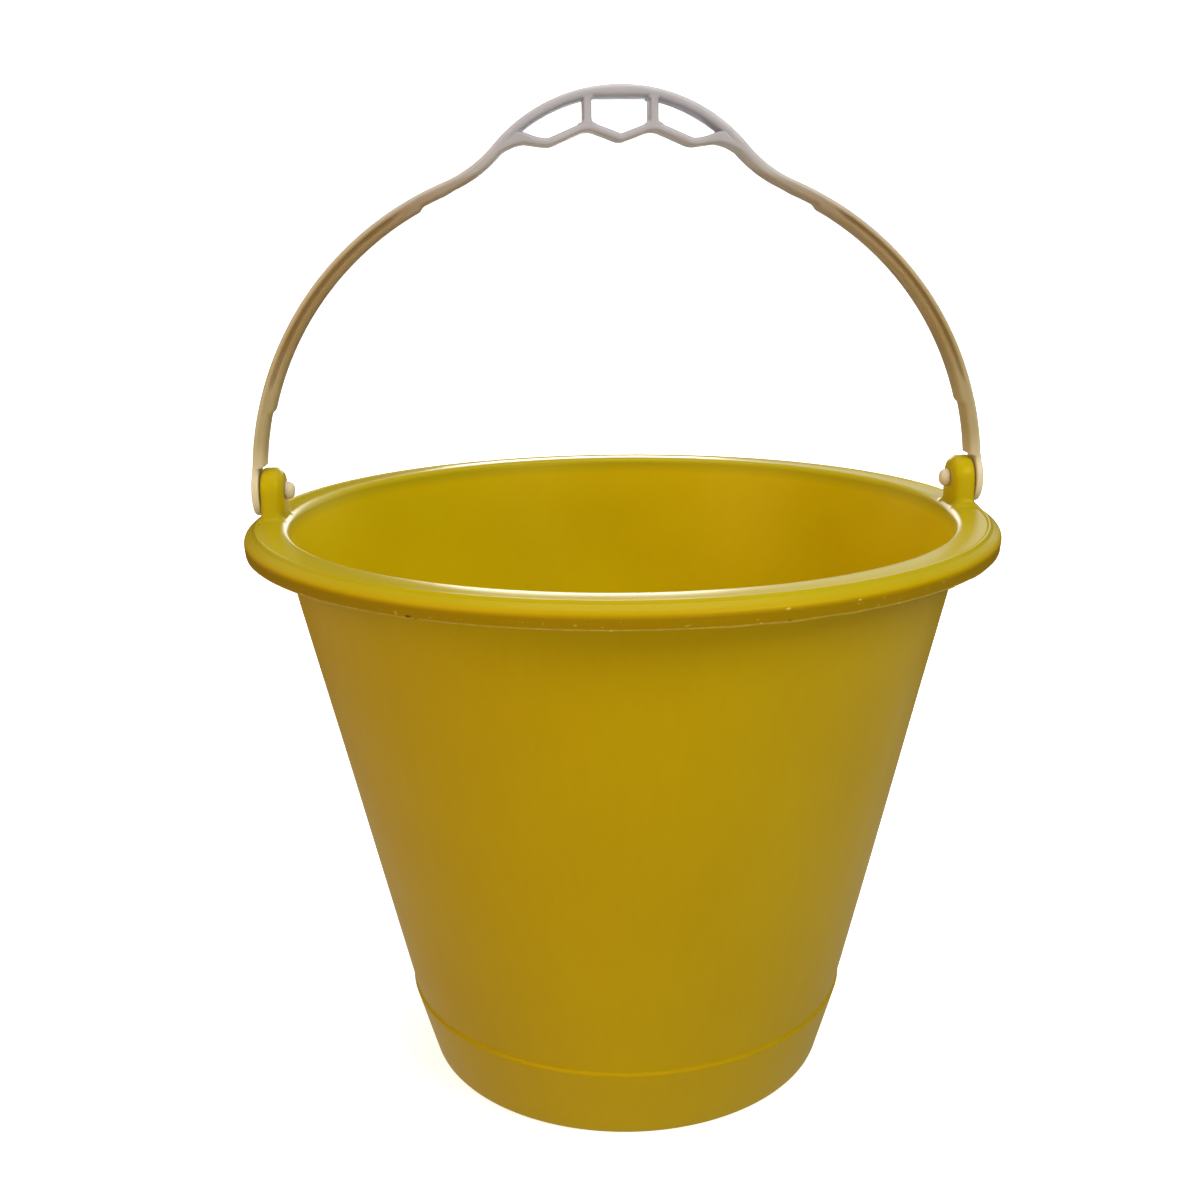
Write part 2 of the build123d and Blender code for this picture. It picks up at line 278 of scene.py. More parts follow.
def makeBucketShell(b):
    # The profile turned about Z. The skirt's lower edge drops by short bits of flash at random angles. The
    # wall leaves its true radius by waveRound sin(turns angle + start) sin(height / up), out of round, and
    # by waveSlant sin(turns angle + height / up), in slanting waves.
    profile = bucketProfile(b)
    angle = np.linspace(0, 2 * math.pi, b["around"], endpoint=False)[:, None]
    radius, height = profile[:, 0][None, :], profile[:, 1][None, :]
    draw = np.random.default_rng(7)
    places = draw.uniform(0, 2 * math.pi, b["flashCount"])
    halves = draw.uniform(*b["flashHalf"], b["flashCount"])
    drops = draw.uniform(*b["flashDrop"], b["flashCount"])
    flash = np.zeros_like(angle)
    full, gone = b["flashFade"]
    for place, half, drop in zip(places, halves, drops):
        off = np.abs((angle - place + math.pi) % (2 * math.pi) - math.pi)
        flash = np.maximum(flash, drop * ramp(off, gone * half, full * half))
    turns, start, up = b["roundTurns"]
    wave = b["waveRound"] * np.sin(turns * angle + start) * np.sin(height / up)
    turns, up = b["slantTurns"]
    wave = wave + b["waveSlant"] * np.sin(turns * angle + height / up)
    waving = ramp(height, *b["waveLow"]) * ramp(rimZ - height, *b["waveHigh"])
    onLip = (radius > rimR - b["flashReach"]) * ramp(height, lipZ + b["flashTop"], lipZ)
    grid = turnedGrid(radius + wave * waving, height - flash * onLip, angle)
    quads = gridQuads(len(angle), len(profile), wrapRows=True)
    return closedMesh("bucket_moulding", grid.reshape(-1, 3), quads)


ear = dict(
    setback=6.4,               # rim's outside to the ear's outer face
    thickness=8.8,
    roundR=9.2,                # half-round top about the pin
    innerRound=3.6,            # soft edges on the bucket's inner side
    outerRound=2.4,
    boreR=3.07,
    outerStand=0.2,            # outer face beyond the bearing face, so that the eye sits snug
    footRound=(0.5, 4.6, 1.6),  # hollow at the root: inner face, sides, outer face
    footSink=0.06,             # the hollow's edge lies this deep in the rim
    rootDepth=1.8,             # how deep the ear goes into the rim
    points=(9, 7, 8, 33),      # points of the grid on a rounding, a flat, a hollow and the half-round top
)


def rimSurface(radius):
    # Height of the rim's top at a radius, read from the profile between the inner crest and the shoulder.
    shoulderEnd, crestDepth = 0.2, 4
    profile = bucketProfile(bucket)
    top = profile[:np.argmax(profile[:, 0] > rimR - shoulderEnd)]
    top = top[top[:, 1] > rimZ - crestDepth]
    return np.interp(radius, top[:, 0], top[:, 1])


def makeEar(e, side):
    # Grid of s by t. t runs across the ear: inner face, rounding, side, rounding, outer face. s runs up one
    # side, round the half-round top and down the other side. At the root the surface leaves the ear along
    # its plan normal by R (1 - cos a) and sinks by R (1 - sin a): a hollow that lies down on the rim.
    onRound, onFlat, onHollow, onTop = e["points"]
    innerX, outerX = rimR - e["setback"] - e["thickness"], rimR - e["setback"] + e["outerStand"]
    quarter = np.linspace(0, math.pi / 2, onRound)
    face = np.linspace(0, 1, onFlat)[:-1]
    x = np.concatenate([innerX + 0 * face, innerX + e["innerRound"] * (1 - np.cos(quarter)),
                        (outerX - e["outerRound"] * (1 - np.cos(quarter)))[::-1], outerX + 0 * face])
    inset = np.concatenate([e["innerRound"] + 0 * face, e["innerRound"] * (1 - np.sin(quarter)),
                            (e["outerRound"] * (1 - np.sin(quarter)))[::-1], e["outerRound"] + 0 * face])
    reach = np.concatenate([face, 1 + 0 * quarter, 1 + 0 * quarter, face[::-1]])    # 0 on the middle line
    normalX = np.concatenate([-1 + 0 * face, -np.cos(quarter), np.cos(quarter)[::-1], 1 + 0 * face])
    normalOut = np.sqrt(1 - normalX ** 2)
    innerFoot, sideFoot, outerFoot = e["footRound"]
    foot = np.where(normalX < 0, innerFoot, outerFoot) * np.abs(normalX) + sideFoot * normalOut
    across = (e["roundR"] - inset) * reach                # how far out from the middle line
    hollow = np.linspace(math.pi / 2, 0, onHollow)[:, None]
    lowX = x + normalX * foot * (1 - np.cos(hollow))
    lowY = across + normalOut * foot * (1 - np.cos(hollow))
    ground = rimSurface(np.hypot(lowX, lowY)) - e["footSink"]
    lowZ = ground + foot * (1 - np.sin(hollow))
    rise = np.linspace(0, 1, onFlat)[1:, None]
    straightZ = lowZ[-1] + (pin[2] - lowZ[-1]) * rise
    rootZ = np.full_like(x, rimZ - e["rootDepth"])[None, :]
    sideX = np.concatenate([x[None, :], lowX, x + 0 * straightZ])
    sideY = np.concatenate([across[None, :], lowY, across + 0 * straightZ])
    sideZ = np.concatenate([rootZ, lowZ, straightZ])
    turn = np.linspace(0, math.pi, onTop)[1:-1, None]
    topX, topY = x + 0 * turn, -across * np.cos(turn)
    topZ = pin[2] + across * np.sin(turn)
    grid = np.concatenate([np.stack([sideX, -sideY, sideZ], -1), np.stack([topX, topY, topZ], -1),
                           np.stack([sideX, sideY, sideZ], -1)[::-1]])
    grid[..., 0] *= side
    rows, columns = grid.shape[:2]
    return closedMesh("ear", grid.reshape(-1, 3), gridQuads(rows, columns))


def pinGrid(profile, around):
    # Point = (x, radius cos angle, pin's height + radius sin angle), for a profile of (x, radius) pairs.
    angle = np.linspace(0, 2 * math.pi, around, endpoint=False)[None, :]
    x, radius = profile[:, :1], profile[:, 1:]
    return np.stack([x + 0 * angle, radius * np.cos(angle), pin[2] + radius * np.sin(angle)], -1)


def makeRod(radius, fromX, toX, around=64):               # round bar along the pin's axis
    profile = np.array([(fromX, 0), (fromX, radius), (toX, radius), (toX, 0)])
    quads = gridQuads(len(profile), around, wrapColumns=True)
    return closedMesh("rod", pinGrid(profile, around).reshape(-1, 3), quads)


bucketPiece = makeBucketShell(bucket)
print("bucket turned:", len(bucketPiece.data.polygons), "faces")
fuse(bucketPiece, [makeEar(ear, 1), makeEar(ear, -1)])
fuse(bucketPiece, [makeRod(ear["boreR"], -rimR, rimR)], "DIFFERENCE")
print("ears fused and bored:", len(bucketPiece.data.polygons), "faces")

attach(bucketPiece, "bucket")
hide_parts("bucket_shell")


# Bail: off-white moulding, a strap carried along its line, with eyes, grip bar and struts fused on.

bail = dict(
    domeHeight=1.1,            # low dome on each eye's outer face
    domeR=6.0,
    domeShape=0.8,             # under 1 the dome is flatter in its middle
    eyeR=9.7,
    eyeThickness=2.7,
    eyeStep=1.3,               # rise over which the strap reaches its full thickness
    eyeInset=0.4,              # inside the eye the strap is thinner than the eye by this
    earGap=0.15,               # its step starts this far above the ear's top
    eyeRounds=(0.8, 0.4, 0.2, 0.1, 0.25),    # edges from the eye's outer face to the snap head's foot
    eyeAround=72,
    pinR=3.0,
    headR=3.5,
    headLength=3.5,
    headRound=2.3,
    endPlay=0.15,
    armOffset=20.2,            # centre of each arm's arc, out from the middle
    armWidth=12.0,
    armThickness=4.6,
    ribThickness=5.75,         # stiffened stretch with a channel in both faces
    ribStart=14.9,             # degrees up from the pin's level
    ribNeckGap=5.9,            # degrees short of the neck
    ribStep=0.7,
    channelInset=1.4,          # degrees that the channel stops short of the steps
    channelDepth=1.0,
    channelFade=4.0,           # degrees over which the channel dies out at its ends
    channelWall=0.45,          # each of its walls, as a share of the face between the rounded edges
    edgeShare=(0.32, 0.44),    # rounding of the strap's edges, as a share of its thickness: arms, grip
    neckRound=50.0,
    neckTurn=0.46,             # radians from the arm to where the arch's thickness starts
    neckThickness=4.0,
    neckBlend=6.0,             # lengths over which the thickness changes, into the neck and into the arch
    archBlend=8.0,
    archR=64.7,
    archThickness=3.5,
    middleThickness=4.3,       # arch at its middle, where its underside is flat
    middleHalf=12.0,
    gripWidth=18.0,
    flareFrom=78.0,            # the strap widens between these distances from the middle
    flareTo=45.0,
    flareRound=5.0,            # hollow between the strap and its round eye
    strutX=12.6,
    strutThickness=3.1,
    strutRound=(1.8, 0.8),     # hollow at a strut's foot and at its top
    strutRoot=(0.3, 1.4),      # how far its full width, and its tapered end, go into bar and arch
    strutPoints=40,            # up its line
    strutInset=0.16,           # bar and struts are narrower than the grip by these on each side
    barInset=0.08,
    barEdge=1.2,               # rounding of the bar's and the struts' edges
    barThickness=2.8,
    barMiddle=(0.0, 19.1, 3.0),           # bends of the scalloped bar: out, down from the top, radius
    barArch=(12.6, 14.5, 9.0),
    barValley=(27.5, 20.8, 6.0),
    barEnd=(37.0, 19.5, 6.0),
    barRoot=(46.4, 21.63),
    barStep=0.7,               # between points of its line
    rootFill=1.6,              # the bar's underside runs down into the neck by this much
    rootFillLength=7.5,
    cornerFill=6.5,            # its upper side rises to the arch and fills the narrow corner
    cornerFillLength=17.0,
    cornerOverlap=0.8,         # the most that this goes into the arch
    cornerLeast=0.1,
)
eyeOuterX = bailHigh[0] - bail["domeHeight"]
eyeInnerX = eyeOuterX - bail["eyeThickness"]
gripTop = bailHigh[2] - pin[2]                            # above the pin, as every height of the bail below
armR = eyeOuterX - bail["armOffset"]


def strapSolid(name, middleLine, normal, thicker, thinner, halfWidth, edge, channel=0):
    # Section carried along a line in the plane of x and z. Across the thickness it runs from +thicker to
    # -thinner along the normal, and to +-halfWidth along Y. Its corners are quarter circles of radius edge,
    # and between them each face sinks by channel, in a groove whose walls are smooth steps.
    onRound, onFace = 7, 17
    quarter = np.linspace(0, math.pi / 2, onRound)[None, :]
    depth = (thicker + thinner)[:, None]
    half, edge, channel = halfWidth[:, None], edge[:, None], (channel + 0 * halfWidth)[:, None]
    share = np.linspace(0, 1, onFace)[None, 1:-1]
    groove = ramp(share, 0, bail["channelWall"]) * ramp(share, 1, 1 - bail["channelWall"])
    rounding, fading = edge * (1 - np.cos(quarter)), edge * (1 - np.sin(quarter))
    a = np.concatenate([rounding, edge + (depth - 2 * edge) * share, depth - fading], 1)
    y = np.concatenate([half - fading, half - channel * groove, half - rounding], 1)
    a, y = np.concatenate([a, a[:, ::-1]], 1), np.concatenate([y, -y[:, ::-1]], 1)
    off = thicker[:, None] - a
    x, z = middleLine[:, :1] + normal[:, :1] * off, pin[2] + middleLine[:, 1:] + normal[:, 1:] * off
    grid = np.stack([x, y, z], -1)
    rows, columns = grid.shape[:2]
    return closedMesh(name, grid.reshape(-1, 3), gridQuads(rows, columns, wrapColumns=True))


def bailLine(b):
    # Outer line of the bail from one pin's level to the top: an arc of the arm, the neck's hollow arc and
    # the grip's arch, each touching the next. Its points are closer where the strap's thickness changes.
    # Returns points, outward normals, the degrees up the arm and the place along the line for each point,
    # how many points are on the arm, and the degrees where the stiffened stretch ends.
    lowest, spacing, closeHalf, closePoints, neckPoints, archPoints = 1.6, 0.55, 1.1, 19, 30, 64
    armMiddle = np.array([b["armOffset"], 0.0])
    archMiddle = np.array([0.0, gripTop - b["archR"]])
    span = archMiddle - armMiddle
    length = np.hypot(*span)
    armSide, archSide = armR + b["neckRound"], b["archR"] + b["neckRound"]
    along = (armSide ** 2 - archSide ** 2 + length ** 2) / (2 * length)
    aside = math.sqrt(armSide ** 2 - along ** 2)
    neckMiddle = armMiddle + span / length * along + np.array([span[1], -span[0]]) / length * aside
    neckDegrees = math.degrees(math.atan2(*(neckMiddle - armMiddle)[::-1]))
    archDegrees = math.degrees(math.atan2(*(neckMiddle - archMiddle)[::-1]))
    ribEnd = neckDegrees - b["ribNeckGap"]
    intoChannel = b["ribStep"] + b["channelInset"]
    heights = (4.5, ear["roundR"] + 0.8)                  # over the flare and over the step above the ear
    perRadian = 57.3                                      # degrees in a radian
    changes = [*(h / armR * perRadian for h in heights), b["ribStart"], b["ribStart"] + intoChannel,
               ribEnd - intoChannel, ribEnd]
    close = np.concatenate([np.linspace(c - closeHalf, c + closeHalf, closePoints) for c in changes])
    even = np.arange(lowest, neckDegrees, spacing)
    armAngle = np.unique(np.concatenate([even, close[close > lowest], [neckDegrees]]))
    neckAngle = np.linspace(neckDegrees + 180, archDegrees + 180, neckPoints)[1:]
    archAngle = np.linspace(archDegrees, 90, archPoints)[1:]
    arcs = [(armMiddle, armR, armAngle, 1), (neckMiddle, b["neckRound"], neckAngle, -1),
            (archMiddle, b["archR"], archAngle, 1)]
    points, normals = [], []
    for middle, radius, angle, out in arcs:
        ray = np.stack([np.cos(np.radians(angle)), np.sin(np.radians(angle))], -1)
        points.append(middle + radius * ray)
        normals.append(out * ray)
    points, normals = np.concatenate(points), np.concatenate(normals)
    armDegrees = np.degrees(np.arctan2(points[:, 1], points[:, 0] - b["armOffset"]))
    place = np.concatenate([[0], np.cumsum(np.hypot(*np.diff(points, axis=0).T))])
    return points, normals, armDegrees, place, len(armAngle), ribEnd


def mirrored(values):                                     # from one pin to the top, then back down in x
    flip = [-1, 1] if values.ndim == 2 else 1
    return np.concatenate([values, values[-2::-1] * flip])


def makeStrap(b):
    # The bail's line with a thickness, a half width and a channel that go by the place along it.
    points, normals, degrees, place, armCount, ribEnd = bailLine(b)
    x, z = points.T
    onArm = np.arange(len(points)) < armCount
    ribbed = ramp(degrees, b["ribStart"] - b["ribStep"], b["ribStart"] + b["ribStep"])
    ribbed *= ramp(degrees, ribEnd + b["ribStep"], ribEnd - b["ribStep"]) * onArm
    thickness = b["armThickness"] + (b["ribThickness"] - b["armThickness"]) * ribbed
    pastArm = place - place[armCount - 1]
    pastNeck = pastArm - b["neckRound"] * b["neckTurn"]
    intoNeck = ramp(pastArm, -b["neckBlend"] / 2, b["neckBlend"] / 2)
    thickness += (b["neckThickness"] - b["armThickness"]) * intoNeck
    thickness += (b["archThickness"] - b["neckThickness"]) * ramp(pastNeck, 0, b["archBlend"])
    leastUp = 0.5                                         # no division by nearly nothing on the arms
    flat = (z - (gripTop - b["middleThickness"])) / np.maximum(normals[:, 1], leastUp)
    thickness = np.maximum(thickness, np.where(np.abs(x) < b["middleHalf"], flat, 0))
    stepZ = ear["roundR"] + b["earGap"]
    aboveEye = ramp(z, stepZ, stepZ + b["eyeStep"])
    inEye = b["eyeThickness"] - b["eyeInset"]
    thickness = inEye + (thickness - inEye) * aboveEye
    widen = ramp(x, b["flareFrom"], b["flareTo"])
    half = b["armWidth"] / 2 + (b["gripWidth"] - b["armWidth"]) / 2 * widen
    hollowR, hollowSide = b["eyeR"] + b["flareRound"], b["armWidth"] / 2 + b["flareRound"]
    hollowZ = math.sqrt(hollowR ** 2 - hollowSide ** 2)
    below = np.clip(hollowZ - z, 0, hollowZ * b["flareRound"] / hollowR)    # until it touches the eye
    half += b["flareRound"] - np.sqrt(b["flareRound"] ** 2 - below ** 2)
    channelLow = b["ribStart"] + b["ribStep"] + b["channelInset"]
    channelHigh = ribEnd - b["ribStep"] - b["channelInset"]
    channel = ramp(degrees, channelLow, channelLow + b["channelFade"])
    channel *= ramp(degrees, channelHigh, channelHigh - b["channelFade"]) * onArm * b["channelDepth"]
    armEdge, gripEdge = b["edgeShare"]
    edge = (armEdge + (gripEdge - armEdge) * widen) * thickness
    sections = (points, normals, 0 * thickness, thickness, half, edge, channel)
    return strapSolid("bail_moulding", *map(mirrored, sections))


def makeEye(b, side):
    # Half section (x, radius) turned about the pin's axis: dome, round eye, snap pin and snap head. The dome
    # stands out by domeHeight (1 - s^2)^domeShape, with s from 0 in its middle to 1 at its rim.
    domePoints, step = 12, 1.0
    headX = rimR - ear["setback"] - ear["thickness"] - b["endPlay"]
    tipX = headX - b["headLength"]
    spread = np.linspace(0, 1, domePoints)
    domeX = eyeOuterX + b["domeHeight"] * (1 - spread ** 2) ** b["domeShape"]
    rest = roundedLine([(eyeOuterX, b["domeR"]), (eyeOuterX, b["eyeR"]), (eyeInnerX, b["eyeR"]),
                        (eyeInnerX, b["pinR"]), (headX, b["pinR"]), (headX, b["headR"]), (tipX, b["headR"]),
                        (tipX, 0)], [*b["eyeRounds"], b["headRound"]], step)
    profile = np.concatenate([np.stack([domeX, b["domeR"] * spread], -1), rest[1:]])
    quads = gridQuads(len(profile), b["eyeAround"], wrapColumns=True)
    return closedMesh("eye", pinGrid(profile * [side, 1], b["eyeAround"]).reshape(-1, 3), quads)


def lineNormals(points):                                  # left-hand normals of a line of (x, z) points
    run = np.gradient(points, axis=0)
    run /= np.hypot(*run.T)[:, None]
    return np.stack([-run[:, 1], run[:, 0]], -1)


def archUnder(b, x):                                      # height of the arch's underside
    return gripTop - b["archR"] + np.sqrt((b["archR"] - b["archThickness"]) ** 2 - x ** 2)


def makeGripBar(b):
    # Scalloped bar: a rounded line through its bends. Towards its roots its underside falls away as the
    # square of the way, so that it runs into the neck, and its upper side rises so up to the arch.
    half = [(*b["barRoot"], 0), *(b[key] for key in ("barEnd", "barValley", "barArch", "barMiddle"))]
    bends = [(-x, drop, radius) for x, drop, radius in half] + half[-2::-1]
    corners = [(x, gripTop - drop) for x, drop, _ in bends]
    line = roundedLine(corners, [radius for _, _, radius in bends[1:-1]], b["barStep"])
    place = np.concatenate([[0], np.cumsum(np.hypot(*np.diff(line, axis=0).T))])
    fromRoot = np.minimum(place, place[-1] - place)
    fill = np.clip(1 - fromRoot / b["rootFillLength"], 0, 1) ** 2
    thin = b["barThickness"] / 2 + 0 * fill
    toArch = archUnder(b, line[:, 0]) + b["cornerOverlap"] - line[:, 1] - thin
    corner = b["cornerFill"] * np.clip(1 - fromRoot / b["cornerFillLength"], 0, 1) ** 2
    corner = np.minimum(corner, np.maximum(toArch, b["cornerLeast"] * fill))
    halfWidth = b["gripWidth"] / 2 - b["barInset"] + 0 * fill
    return strapSolid("grip_bar", line, lineNormals(line), thin + corner, thin + b["rootFill"] * fill,
                      halfWidth, b["barEdge"] + 0 * fill)


def makeStrut(b, side):
    # Upright web whose half thickness grows by R - sqrt(R^2 - (R - d)^2) at a distance d from the bar or the
    # arch, where R is the hollow at that end.
    (archX, archDrop, archRound), (valleyX, valleyDrop, _) = b["barArch"], b["barValley"]
    turn = math.atan2(valleyDrop - archDrop, valleyX - archX)
    barTop = gripTop - archDrop - archRound * (1 / math.cos(turn) - 1) + b["barThickness"] / 2
    top = archUnder(b, b["strutX"])
    near, end = b["strutRoot"]
    z = np.linspace(barTop - near, top + near, b["strutPoints"])
    z = np.concatenate([[barTop - end], z, [top + end]])
    half = np.full_like(z, b["strutThickness"] / 2)
    for away, hollow in zip((z - barTop, top - z), b["strutRound"]):
        away = np.clip(away, 0, hollow)
        half += hollow - np.sqrt(hollow ** 2 - (hollow - away) ** 2)
    line = np.stack([np.full_like(z, side * b["strutX"]), z], -1)
    normals = np.tile([1.0, 0.0], (len(z), 1))
    halfWidth = np.full_like(z, b["gripWidth"] / 2 - b["strutInset"])
    return strapSolid("strut", line, normals, half, half, halfWidth, np.full_like(z, b["barEdge"]))


bailPiece = makeStrap(bail)
print("bail strap carried along its line:", len(bailPiece.data.polygons), "faces")
fuse(bailPiece, [makeEye(bail, 1), makeEye(bail, -1), makeGripBar(bail),
                 makeStrut(bail, 1), makeStrut(bail, -1)])
print("eyes and grip fused:", len(bailPiece.data.polygons), "faces")

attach(bailPiece, "bail")
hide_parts("bail_handle")


# Materials.

def paint(piece, name, values):                           # one number per vertex, for a material to read
    layer = piece.data.attributes.new(name, "FLOAT", "POINT")
    layer.data.foreach_set("value", np.asarray(values, np.float32))


def vertexPlaces(piece):                                  # in millimetres
    place = np.empty(3 * len(piece.data.vertices))
    piece.data.vertices.foreach_get("co", place)
    return place.reshape(-1, 3) / mm


def newMaterial(name):                                    # an empty node tree to fill
    material = bpy.data.materials.new(name)
    material.use_nodes = True
    material.node_tree.nodes.clear()
    return material, material.node_tree


yellow = dict(
    wallBlend=(-0.6, 0.6),     # from inside to outside, past the wall's middle
    crestBlend=(1, 5),         # and down from the rim's flat top
    skirtBlend=(-3, -1),       # from wall to skirt, past the rim's outside
    lipBlend=(-2, 0),          # and up from the skirt's lower edge
    topBlend=(-6, -2),         # from inside to rim, up from its flat top
    earBlend=(2, 6),           # where the ears' tops take some of the inside's lighter tone: painted light
    earPaintedLight=0.4,
    flashFull=0.3,             # up from the skirt's lower edge
    flashBlend=(-2, -1),       # past the rim's outside
    # Each zone's tone holds painted light and shade: lighter inside and on the rim's top, darkest on the
    # skirt.
    inside="#cdb206",
    rim="#ae9c0f",             # rim's top, a lemon tone: painted cool light from above
    wall="#b99703",            # wall and foot, a deeper amber: painted warm reflected light
    skirt="#967502",           # the deepest: painted shade on the skirt
    flash="#c2a848",           # thin flash along the skirt's lower edge lets light through
    deep="#9c7402",            # clouds in the pigment
    cloudSize=70.0,            # millimetres, as every size and blend here
    cloudSpread=(0.35, 0.75),  # part of the pattern's values that shows, here and for every spread below
    cloudDepth=0.16,
    streakSize=(26.0, 3.2),    # flow streaks: along the wall's height, and round it
    streakSpread=(0.3, 0.7),
    streakTone=0.97,
    turningSize=(60.0, 1.6),   # turning marks of the mould: round the wall, and up it
    turningBump=(0.2, 0.03),   # strength and depth
    grainSize=0.9,             # real grain is about 0.1, drawn coarser so that it shows
    grainBump=(0.25, 0.015),
    gloss=(0.28, 0.31),        # roughness of the rim and the inside
    wallGloss=(0.38, 0.48),
    glossSpread=(0.25, 0.75),
    underSkin="#ffe070",       # tint of the gloss
    underSkinLevel=0.22,
    nick="#dccb68",            # small pale nicks where the skirt meets other buckets
    nickFrom=0.8,              # zone from which they show
    nickSize=4.0,
    nickSpread=(0.64, 0.72),
    nickDepth=0.45,
    markDepth=0.75,
    markEdge=(0.8, 1.2),       # where a mark starts to fade and ends, as shares of its size
    markRagged=0.9,            # how much the grain breaks up its edge
    markStretch=2.6,           # scuffs run round the rim: this many times longer than high
    marks=[((-77.7, -128.0, 224.4), 2.0, "#3d2800"), ((-75.0, -129.6, 223.9), 1.0, "#5c4000"),
           ((-65.0, -116.0, 215.0), 0.5, "#6b5200"), ((-34.9, -145.6, 225.7), 0.6, "#cdb75a"),
           ((-14.3, -149.0, 223.7), 1.2, "#e0cf70"), ((41.3, -143.9, 228.1), 1.5, "#d9c85a"),
           ((42.0, -143.7, 224.2), 1.2, "#6b5200"), ((66.2, -134.3, 227.8), 1.1, "#e9dc8a"),
           ((-71.5, -98.4, 164.0), 0.5, "#d9c85a"), ((-9.0, -114.0, 131.0), 0.6, "#6b5200")],
)
onRim, onWall, onSkirt = 1 / 3, 2 / 3, 1                  # zone painted on the bucket; 0 is the inside


def yellowPlastic(y):
    # Injection-moulded polyethylene with a yellow pigment: satin and a little waxy, so highlights are broad
    # and soft. Pigment clouds and flow streaks shift its colour by a few percent, the mould's turning marks
    # ring it, and the gloss that comes from under the skin is tinted.
    material, tree = newMaterial("yellow moulded polyethylene")
    where = addNode(tree, "TexCoord", {}).outputs["Object"]
    zone = addNode(tree, "Attribute", {}, attribute_name="zone").outputs["Fac"]
    flash = addNode(tree, "Attribute", {}, attribute_name="flash").outputs["Fac"]

    def turned(along, around):                            # a pattern's own coordinates, one per size
        scale = (1000 / around, 1000 / around, 1000 / along)
        return addNode(tree, "Mapping", {"Vector": where, "Scale": scale}).outputs["Vector"]

    clouds = addNode(tree, "TexNoise", {"Vector": where, "Scale": 1000 / y["cloudSize"], "Detail": 3})
    clouds = clouds.outputs["Fac"]
    streaks = addNode(tree, "TexNoise", {"Vector": turned(*y["streakSize"]), "Scale": 1, "Detail": 4,
                                         "Roughness": 0.6}).outputs["Fac"]
    turning = addNode(tree, "TexNoise", {"Vector": turned(*y["turningSize"][::-1]), "Scale": 1, "Detail": 2})
    grain = addNode(tree, "TexNoise", {"Vector": where, "Scale": 1000 / y["grainSize"], "Detail": 2})

    # Tones by zone, which paint light and shade: lighter inside and on the rim, amber wall, darkest skirt.
    base = addNode(tree, "ValToRGB", {"Fac": zone})
    base.color_ramp.elements.new(onRim)
    base.color_ramp.elements.new(onWall)
    for stop, part in zip(base.color_ramp.elements, ("inside", "rim", "wall", "skirt")):
        stop.color = linearColour(y[part])
    low, high = y["cloudSpread"]
    cloudShare = addNode(tree, "MapRange", {"Value": clouds, "From Min": low, "From Max": high,
                                            "To Max": y["cloudDepth"]}).outputs["Result"]
    clouded = addNode(tree, "Mix", {0: cloudShare, 6: base.outputs["Color"], 7: linearColour(y["deep"])},
                      data_type="RGBA").outputs[2]
    darkest = addNode(tree, "MapRange", {"Value": zone, "From Min": onRim, "From Max": onWall,
                                         "To Min": 1.0, "To Max": y["streakTone"]}).outputs["Result"]
    low, high = y["streakSpread"]
    streakTone = addNode(tree, "MapRange", {"Value": streaks, "From Min": low, "From Max": high,
                                            "To Min": darkest, "To Max": 1.0}).outputs["Result"]
    colour = addNode(tree, "VectorMath", {0: clouded, "Scale": streakTone}, operation="SCALE")
    colour = colour.outputs["Vector"]
    thin = addNode(tree, "Math", {0: flash, 1: streaks}, operation="MULTIPLY").outputs["Value"]
    colour = addNode(tree, "Mix", {0: thin, 6: colour, 7: linearColour(y["flash"])},
                     data_type="RGBA").outputs[2]

    stretched = (1, 1, y["markStretch"])
    nickPlace = addNode(tree, "Mapping", {"Vector": where, "Scale": stretched}).outputs["Vector"]
    nicks = addNode(tree, "TexNoise", {"Vector": nickPlace, "Scale": 1000 / y["nickSize"], "Detail": 3,
                                       "Roughness": 0.7})
    low, high = y["nickSpread"]
    nicked = addNode(tree, "MapRange", {"Value": nicks.outputs["Fac"], "From Min": low, "From Max": high,
                                        "To Max": y["nickDepth"]}).outputs["Result"]
    skirtShare = addNode(tree, "MapRange", {"Value": zone, "From Min": y["nickFrom"], "From Max": onSkirt})
    skirtShare = skirtShare.outputs["Result"]
    nicked = addNode(tree, "Math", {0: nicked, 1: skirtShare}, operation="MULTIPLY").outputs["Value"]
    colour = addNode(tree, "Mix", {0: nicked, 6: colour, 7: linearColour(y["nick"])},
                     data_type="RGBA").outputs[2]
    for place, size, tone in y["marks"]:                  # scuffs and bright nicks, broken up by the grain
        centre = tuple(mm * v for v in place)
        off = addNode(tree, "VectorMath", {0: where, 1: centre}, operation="SUBTRACT").outputs["Vector"]
        flat = addNode(tree, "VectorMath", {0: off, 1: stretched}, operation="MULTIPLY").outputs["Vector"]
        away = addNode(tree, "VectorMath", {0: flat}, operation="LENGTH").outputs["Value"]
        ragged = addNode(tree, "Math", {0: grain.outputs["Fac"], 1: y["markRagged"] * size * mm, 2: away},
                         operation="MULTIPLY_ADD").outputs["Value"]
        near, far = (share * size * mm for share in y["markEdge"])
        share = addNode(tree, "MapRange", {"Value": ragged, "From Min": near, "From Max": far,
                                           "To Min": y["markDepth"], "To Max": 0}).outputs["Result"]
        colour = addNode(tree, "Mix", {0: share, 6: colour, 7: linearColour(tone)},
                         data_type="RGBA").outputs[2]

